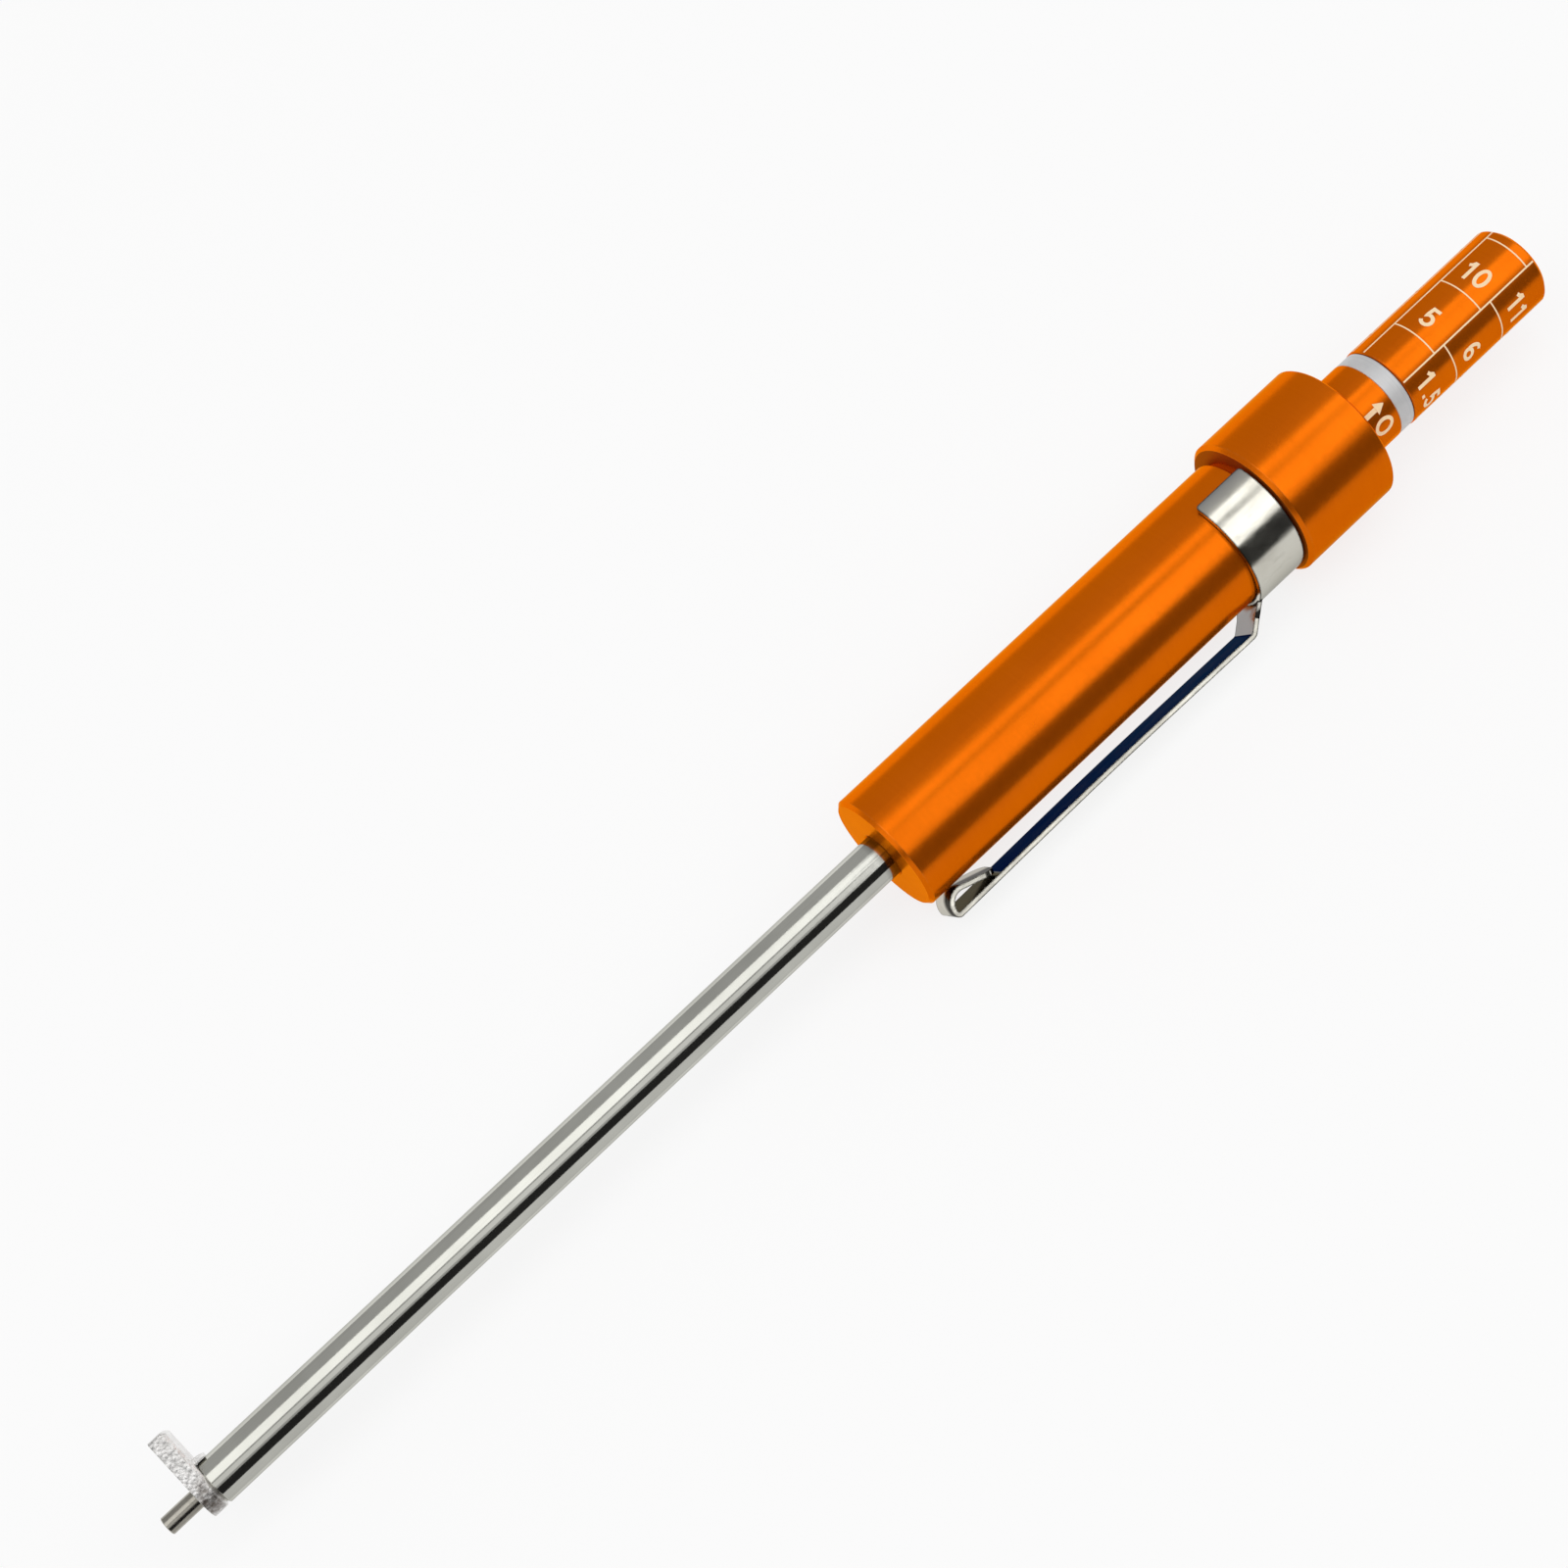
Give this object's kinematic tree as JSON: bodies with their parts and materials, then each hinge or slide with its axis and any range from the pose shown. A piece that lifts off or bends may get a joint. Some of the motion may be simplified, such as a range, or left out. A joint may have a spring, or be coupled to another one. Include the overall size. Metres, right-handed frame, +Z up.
{
  "type": "brake pad thickness gauge",
  "caption": "Pen-shaped brake pad thickness gauge: a sprung pin in a stepped steel probe, read on an engraved push drum at the collar's rear edge, with a pocket clip.",
  "frame": {"origin": "on the probe's axis, at the centre of the measuring foot's front face, where the pin leaves it", "axes": "+X along the probe from the tip to the scale drum, +Z up with the pocket clip low on the -Y side"},
  "size_m": [0.1317, 0.012, 0.0118],
  "materials": {
    "measuring_foot": "sintered, lightly blasted",
    "probe_tube": "polished",
    "tube_ferrule": "turned",
    "probe_pin": "polished",
    "barrel": "orange anodised, satin gloss",
    "rear_collar": "orange anodised, satin gloss",
    "stop_washer": "plain",
    "return_spring": "drawn spring wire",
    "spring_seat": "moulded",
    "zero_stem": "orange anodised, satin gloss",
    "pin_lock_screw": "blackened",
    "limit_ring": "satin, clear anodised",
    "scale_drum": "orange anodised, satin gloss, engraved scale",
    "pocket_clip": "bright nickel"
  },
  "bodies": {
    "handle": {"barrel": "barrel", "rear_collar": "rear_collar", "probe_tube": "probe_tube", "measuring_foot": "measuring_foot", "tube_ferrule": "tube_ferrule", "stop_washer": "stop_washer", "return_spring": "return_spring"},
    "follower": {"spring_seat": "spring_seat"},
    "plunger": {"zero_stem": "zero_stem", "limit_ring": "limit_ring", "scale_drum": "scale_drum", "probe_pin": "probe_pin", "pin_lock_screw": "pin_lock_screw"},
    "clip": {"pocket_clip": "pocket_clip"}
  },
  "joints": [
    {"name": "plunger_slide", "type": "slide", "parent": "handle", "child": "follower", "axis": [-1, 0, 0], "range_m": [0, 0.019], "stiffness_N_per_m": 240, "springref_m": -0.007, "deforming": ["return_spring"]},
    {"name": "plunger_turn", "type": "hinge", "parent": "follower", "child": "plunger", "pos_m": [0.1, 0, 0], "axis": [1, 0, 0], "continuous": true},
    {"name": "clip_turn", "type": "hinge", "parent": "handle", "child": "clip", "pos_m": [0.098, 0, 0], "axis": [1, 0, 0], "continuous": true}
  ]
}
